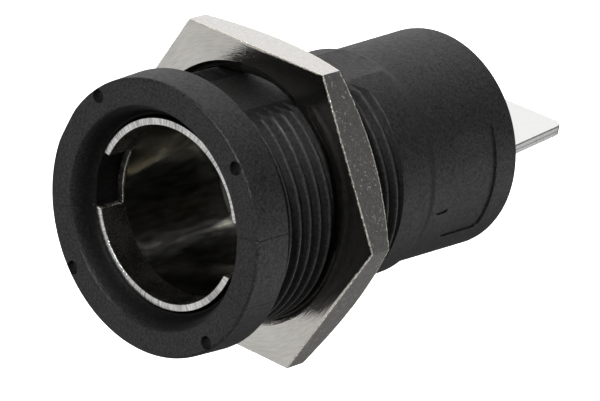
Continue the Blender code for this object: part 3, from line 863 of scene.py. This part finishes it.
def make_rivets(brass):
    """Two rivets with a domed head in front of the sleeve's floor and a flatter one behind the ring."""
    crown, head, shank, clenched = 0.55 * MM, 0.8 * MM, 0.5 * MM, 0.6 * MM
    head_end, clench = 0.3 * MM, 0.15 * MM
    for name, side in (("top", 1), ("bottom", -1)):
        low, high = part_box("sleeve_rivet_" + name)
        front, rear = low.y, high.y
        outline = fillet([
            (0, front), (crown, front, 0.25 * MM), (head, front + head_end, 0.05 * MM),
            (shank, front + head_end), (shank, rear - clench), (head, rear - clench, 0.05 * MM),
            (clenched, rear, 0.06 * MM), (0, rear),
        ], 4)
        rivet = lathe("rivet_" + name, outline, [brass], 40)
        rivet.data.transform(Matrix.Translation((0, 0, side * RIVET_CIRCLE_R)))
        finish_piece(rivet, "body", "sleeve_rivet_" + name)


def make_liner(plastic):
    """Insulating tube with a web across it that keeps the end contact back."""
    start, end = LINER_LOW.y, LINER_HIGH.y
    outer, inner, hole = 5.3 * MM, 4.4 * MM, 2.3 * MM
    web = (16.4 * MM, 17.2 * MM)
    outline = fillet([
        (inner, start, 0.25 * MM), (outer, start, 0.1 * MM), (outer, end, 0.1 * MM), (inner, end, 0.1 * MM),
        (inner, web[1], 0.08 * MM), (hole, web[1], 0.1 * MM),
        (hole, web[0], 0.2 * MM), (inner, web[0], 0.2 * MM),
    ], 4)
    finish_piece(lathe("liner", outline, [plastic], 120), "body", "guide_liner")


def make_end_contact(brass):
    """Plunger with a domed nose, a flange for the spring to push on, and a pilot inside the spring."""
    tip, end = CONTACT_LOW.y, CONTACT_HIGH.y
    flange, flange_end = 17.5 * MM, 18.0 * MM
    nose, dome, wide, pilot = 2.0 * MM, 1.0 * MM, 3.7 * MM, 1.7 * MM
    outline = [
        (nose * math.sin(math.pi / 2 * k / 14), tip + dome * (1 - math.cos(math.pi / 2 * k / 14)))
        for k in range(15)
    ]
    outline += fillet([
        outline[-1], (nose, flange, 0.1 * MM), (wide, flange, 0.08 * MM), (wide, flange_end, 0.08 * MM),
        (pilot, flange_end, 0.1 * MM), (pilot, end, 0.2 * MM), (0, end),
    ], 4)[1:]
    finish_piece(lathe("plunger", outline, [brass], 96), "end_contact", "end_contact")


def make_spring(steel):
    """Compression spring with a dead coil at each end, ground flat."""
    wire, mean = 0.2 * MM, 2.6 * MM
    low, high = SPRING_LOW.y + wire, SPRING_HIGH.y - wire
    lowest, highest = SPRING_LOW.y + 0.05 * MM, SPRING_HIGH.y - 0.05 * MM
    turns, per_turn, sides = 4.5, 48, 14
    count = round(turns * per_turn)
    dead = 2.05 * wire
    verts = []
    for k in range(count + 1):
        turn = turns * k / count
        if turn < 1:
            y = low + dead * turn
        elif turn > turns - 1:
            y = high - dead * (turns - turn)
        else:
            y = low + dead + (high - low - 2 * dead) * (turn - 1) / (turns - 2)
        angle = -TURN * turn
        for s in range(sides):
            side = TURN * s / sides
            out = mean + wire * math.cos(side)
            height = min(max(y + wire * math.sin(side), lowest), highest)
            verts.append((out * math.cos(angle), height, out * math.sin(angle)))
    spring = new_object("coil_spring", verts, tube_faces(count + 1, sides), [steel])
    finish_piece(spring, "body", "contact_spring", 60.0)
    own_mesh(spring)


def make_cup(brass):
    """Cup with a boss that centres the spring."""
    end, rim = CUP_HIGH.y, CUP_LOW.y
    outer, wall, boss = 3.9 * MM, 0.3 * MM, 1.7 * MM
    floor = end - wall
    boss_top = floor - 0.8 * MM
    outline = fillet([
        (0, boss_top), (boss, boss_top, 0.2 * MM), (boss, floor, 0.08 * MM),
        (outer - wall, floor, 0.1 * MM), (outer - wall, rim, 0.1 * MM), (outer, rim, 0.1 * MM),
        (outer, end, 0.25 * MM), (0, end),
    ], 4)
    finish_piece(lathe("cup", outline, [brass], 96), "body", "spring_cup")


# Floor, light and camera

def make_floor():
    """A plain white floor well under the part, which rises into a white backdrop all round it.

    Both are there for the camera only: they throw no light back onto the part and keep none off it.
    """
    size, height = 1.4, -0.06
    outline = fillet([(0, height), (size, height, 0.3), (size, size, 1.0), (0, size)], 12)
    floor = lathe("floor", outline)
    floor.data.transform(Matrix.Rotation(math.radians(90.0), 4, "X"))
    floor.data.shade_smooth()
    finish = Finish("floor_white", (0.9, 0.9, 0.9), 0.8)
    finish.set("Emission Color", (1.0, 1.0, 1.0, 1.0))
    finish.set("Emission Strength", 1.0)
    floor.data.materials.append(finish.material)
    for name in ("visible_diffuse", "visible_glossy", "visible_shadow", "visible_transmission"):
        setattr(floor, name, False)


# The light round the part. Each card is a direction, the cosines of the angles from it at which the card
# begins and is full, and how much it adds to the surround. Left and right are as the camera sees them.
CARDS = [
    # Softboxes overhead, behind and above, and on the left
    ((-0.10, 0.15, 1.00), 0.60, 0.90, 0.8),
    ((-0.62, 0.70, 0.36), 0.80, 0.95, 0.95),
    ((-0.58, -0.71, -0.40), 0.70, 0.93, 0.6),
    # Dark flags on the right, and behind and below
    ((0.60, 0.71, 0.37), 0.70, 0.95, -0.17),
    ((0.02, 0.71, -0.70), 0.80, 0.95, -0.12),
    # Fill cards low on the right, and at the camera
    ((0.85, 0.35, -0.40), 0.65, 0.95, 1.3),
    ((0.58, -0.71, 0.41), 0.93, 0.98, 0.3),
    # Small lamps above and below the camera, which streak the inside of the sleeve
    ((0.24, -0.72, 0.65), 0.9965, 0.9992, 195.0),
    ((0.67, -0.72, -0.15), 0.985, 0.996, 1.8),
]
SURROUND = 0.27
DARKEST = 0.02


def make_world():
    """A studio as a function of direction: a grey surround with soft cards."""
    world = bpy.data.worlds.new("studio")
    bpy.context.scene.world = world
    world.use_nodes = True
    tree = world.node_tree
    tree.nodes.clear()
    place = tree.nodes.new("ShaderNodeTexCoord").outputs["Generated"]
    total = None
    for direction, begin, full, bright in CARDS:
        dot = tree.nodes.new("ShaderNodeVectorMath")
        dot.operation = "DOT_PRODUCT"
        dot.inputs[1].default_value = Vector(direction).normalized()
        tree.links.new(place, dot.inputs[0])
        card = tree.nodes.new("ShaderNodeMapRange")
        card.interpolation_type = "SMOOTHSTEP"
        for name, value in (("From Min", begin), ("From Max", full), ("To Min", 0.0), ("To Max", bright)):
            card.inputs[name].default_value = value
        tree.links.new(dot.outputs["Value"], card.inputs["Value"])
        add = tree.nodes.new("ShaderNodeMath")
        add.operation = "ADD"
        tree.links.new(card.outputs[0], add.inputs[0])
        if total is None:
            add.inputs[1].default_value = SURROUND
        else:
            tree.links.new(total, add.inputs[1])
        total = add.outputs[0]
    kept = tree.nodes.new("ShaderNodeMath")
    kept.operation = "MAXIMUM"
    kept.inputs[1].default_value = DARKEST
    tree.links.new(total, kept.inputs[0])
    light = tree.nodes.new("ShaderNodeBackground")
    tree.links.new(kept.outputs[0], light.inputs["Strength"])
    out = tree.nodes.new("ShaderNodeOutputWorld")
    tree.links.new(light.outputs[0], out.inputs["Surface"])


def make_camera():
    """The photograph's viewing angle, found by fitting the object's own edges to it."""
    data = bpy.data.cameras.new("camera")
    data.lens = 264.0
    data.sensor_width = 36.0
    data.clip_start = 0.01
    camera = bpy.data.objects.new("camera", data)
    bpy.context.scene.collection.objects.link(camera)
    forward = Vector((-0.57474, 0.71130, -0.40462))
    up = Vector((-0.38255, 0.20356, 0.90123))
    right = forward.cross(up).normalized()
    up = right.cross(forward).normalized()
    rotation = Matrix((right, up, -forward.normalized())).transposed()
    camera.matrix_world = rotation.to_4x4()
    camera.location = (0.17992, -0.21013, 0.12457)
    bpy.context.scene.camera = camera


make_camera()
make_world()
make_floor()

moulding = black_moulding("black_thermoset", body=True)
liner_plastic = black_moulding("liner_plastic", (0.02, 0.02, 0.022), (0.035, 0.035, 0.037))
turned = turned_metal("turned_nickel", (0.7, 0.68, 0.64), 0.12, 9000.0, 0.009 * MM, nicked=True)
drawn = drawn_metal("drawn_nickel", (0.78, 0.76, 0.73), 0.22, 0.5)
# Cut edges: real burrs, painted paler than the metal as a glint
torn_with_glint = rough_edge("torn_edges_with_glint", (0.95, 0.9, 0.8))
rim = turned_metal("sleeve_rim", (0.88, 0.87, 0.85), 0.2, 900.0, 0.02 * MM, spokes=55.0, cloudy=0.6)
band = turned_metal("sleeve_band", (0.56, 0.545, 0.51), 0.25, 12000.0, 0.03 * MM, spokes=90.0, cloudy=0.6)
# The bore's darker colour is painted shade inside the sleeve
bore = polished_bore("sleeve_bore_painted_shade", (0.33, 0.325, 0.3), 0.19)
tin = drawn_metal("tinned_sheet", (0.88, 0.88, 0.87), 0.3, cloudy=0.04)
brass = turned_metal("turned_brass", (0.72, 0.56, 0.28), 0.25, 6000.0, 0.001 * MM)
steel = drawn_metal("spring_wire", (0.45, 0.45, 0.46), 0.3)

make_housing(moulding)
make_nut(turned, drawn, torn_with_glint)
make_sleeve(rim, band, bore, torn_with_glint)
make_rear_terminal(tin)
make_sleeve_terminal(tin)
make_rivets(brass)
make_liner(liner_plastic)
make_end_contact(brass)
make_spring(steel)
make_cup(brass)

bpy.context.scene.view_settings.view_transform = "Standard"
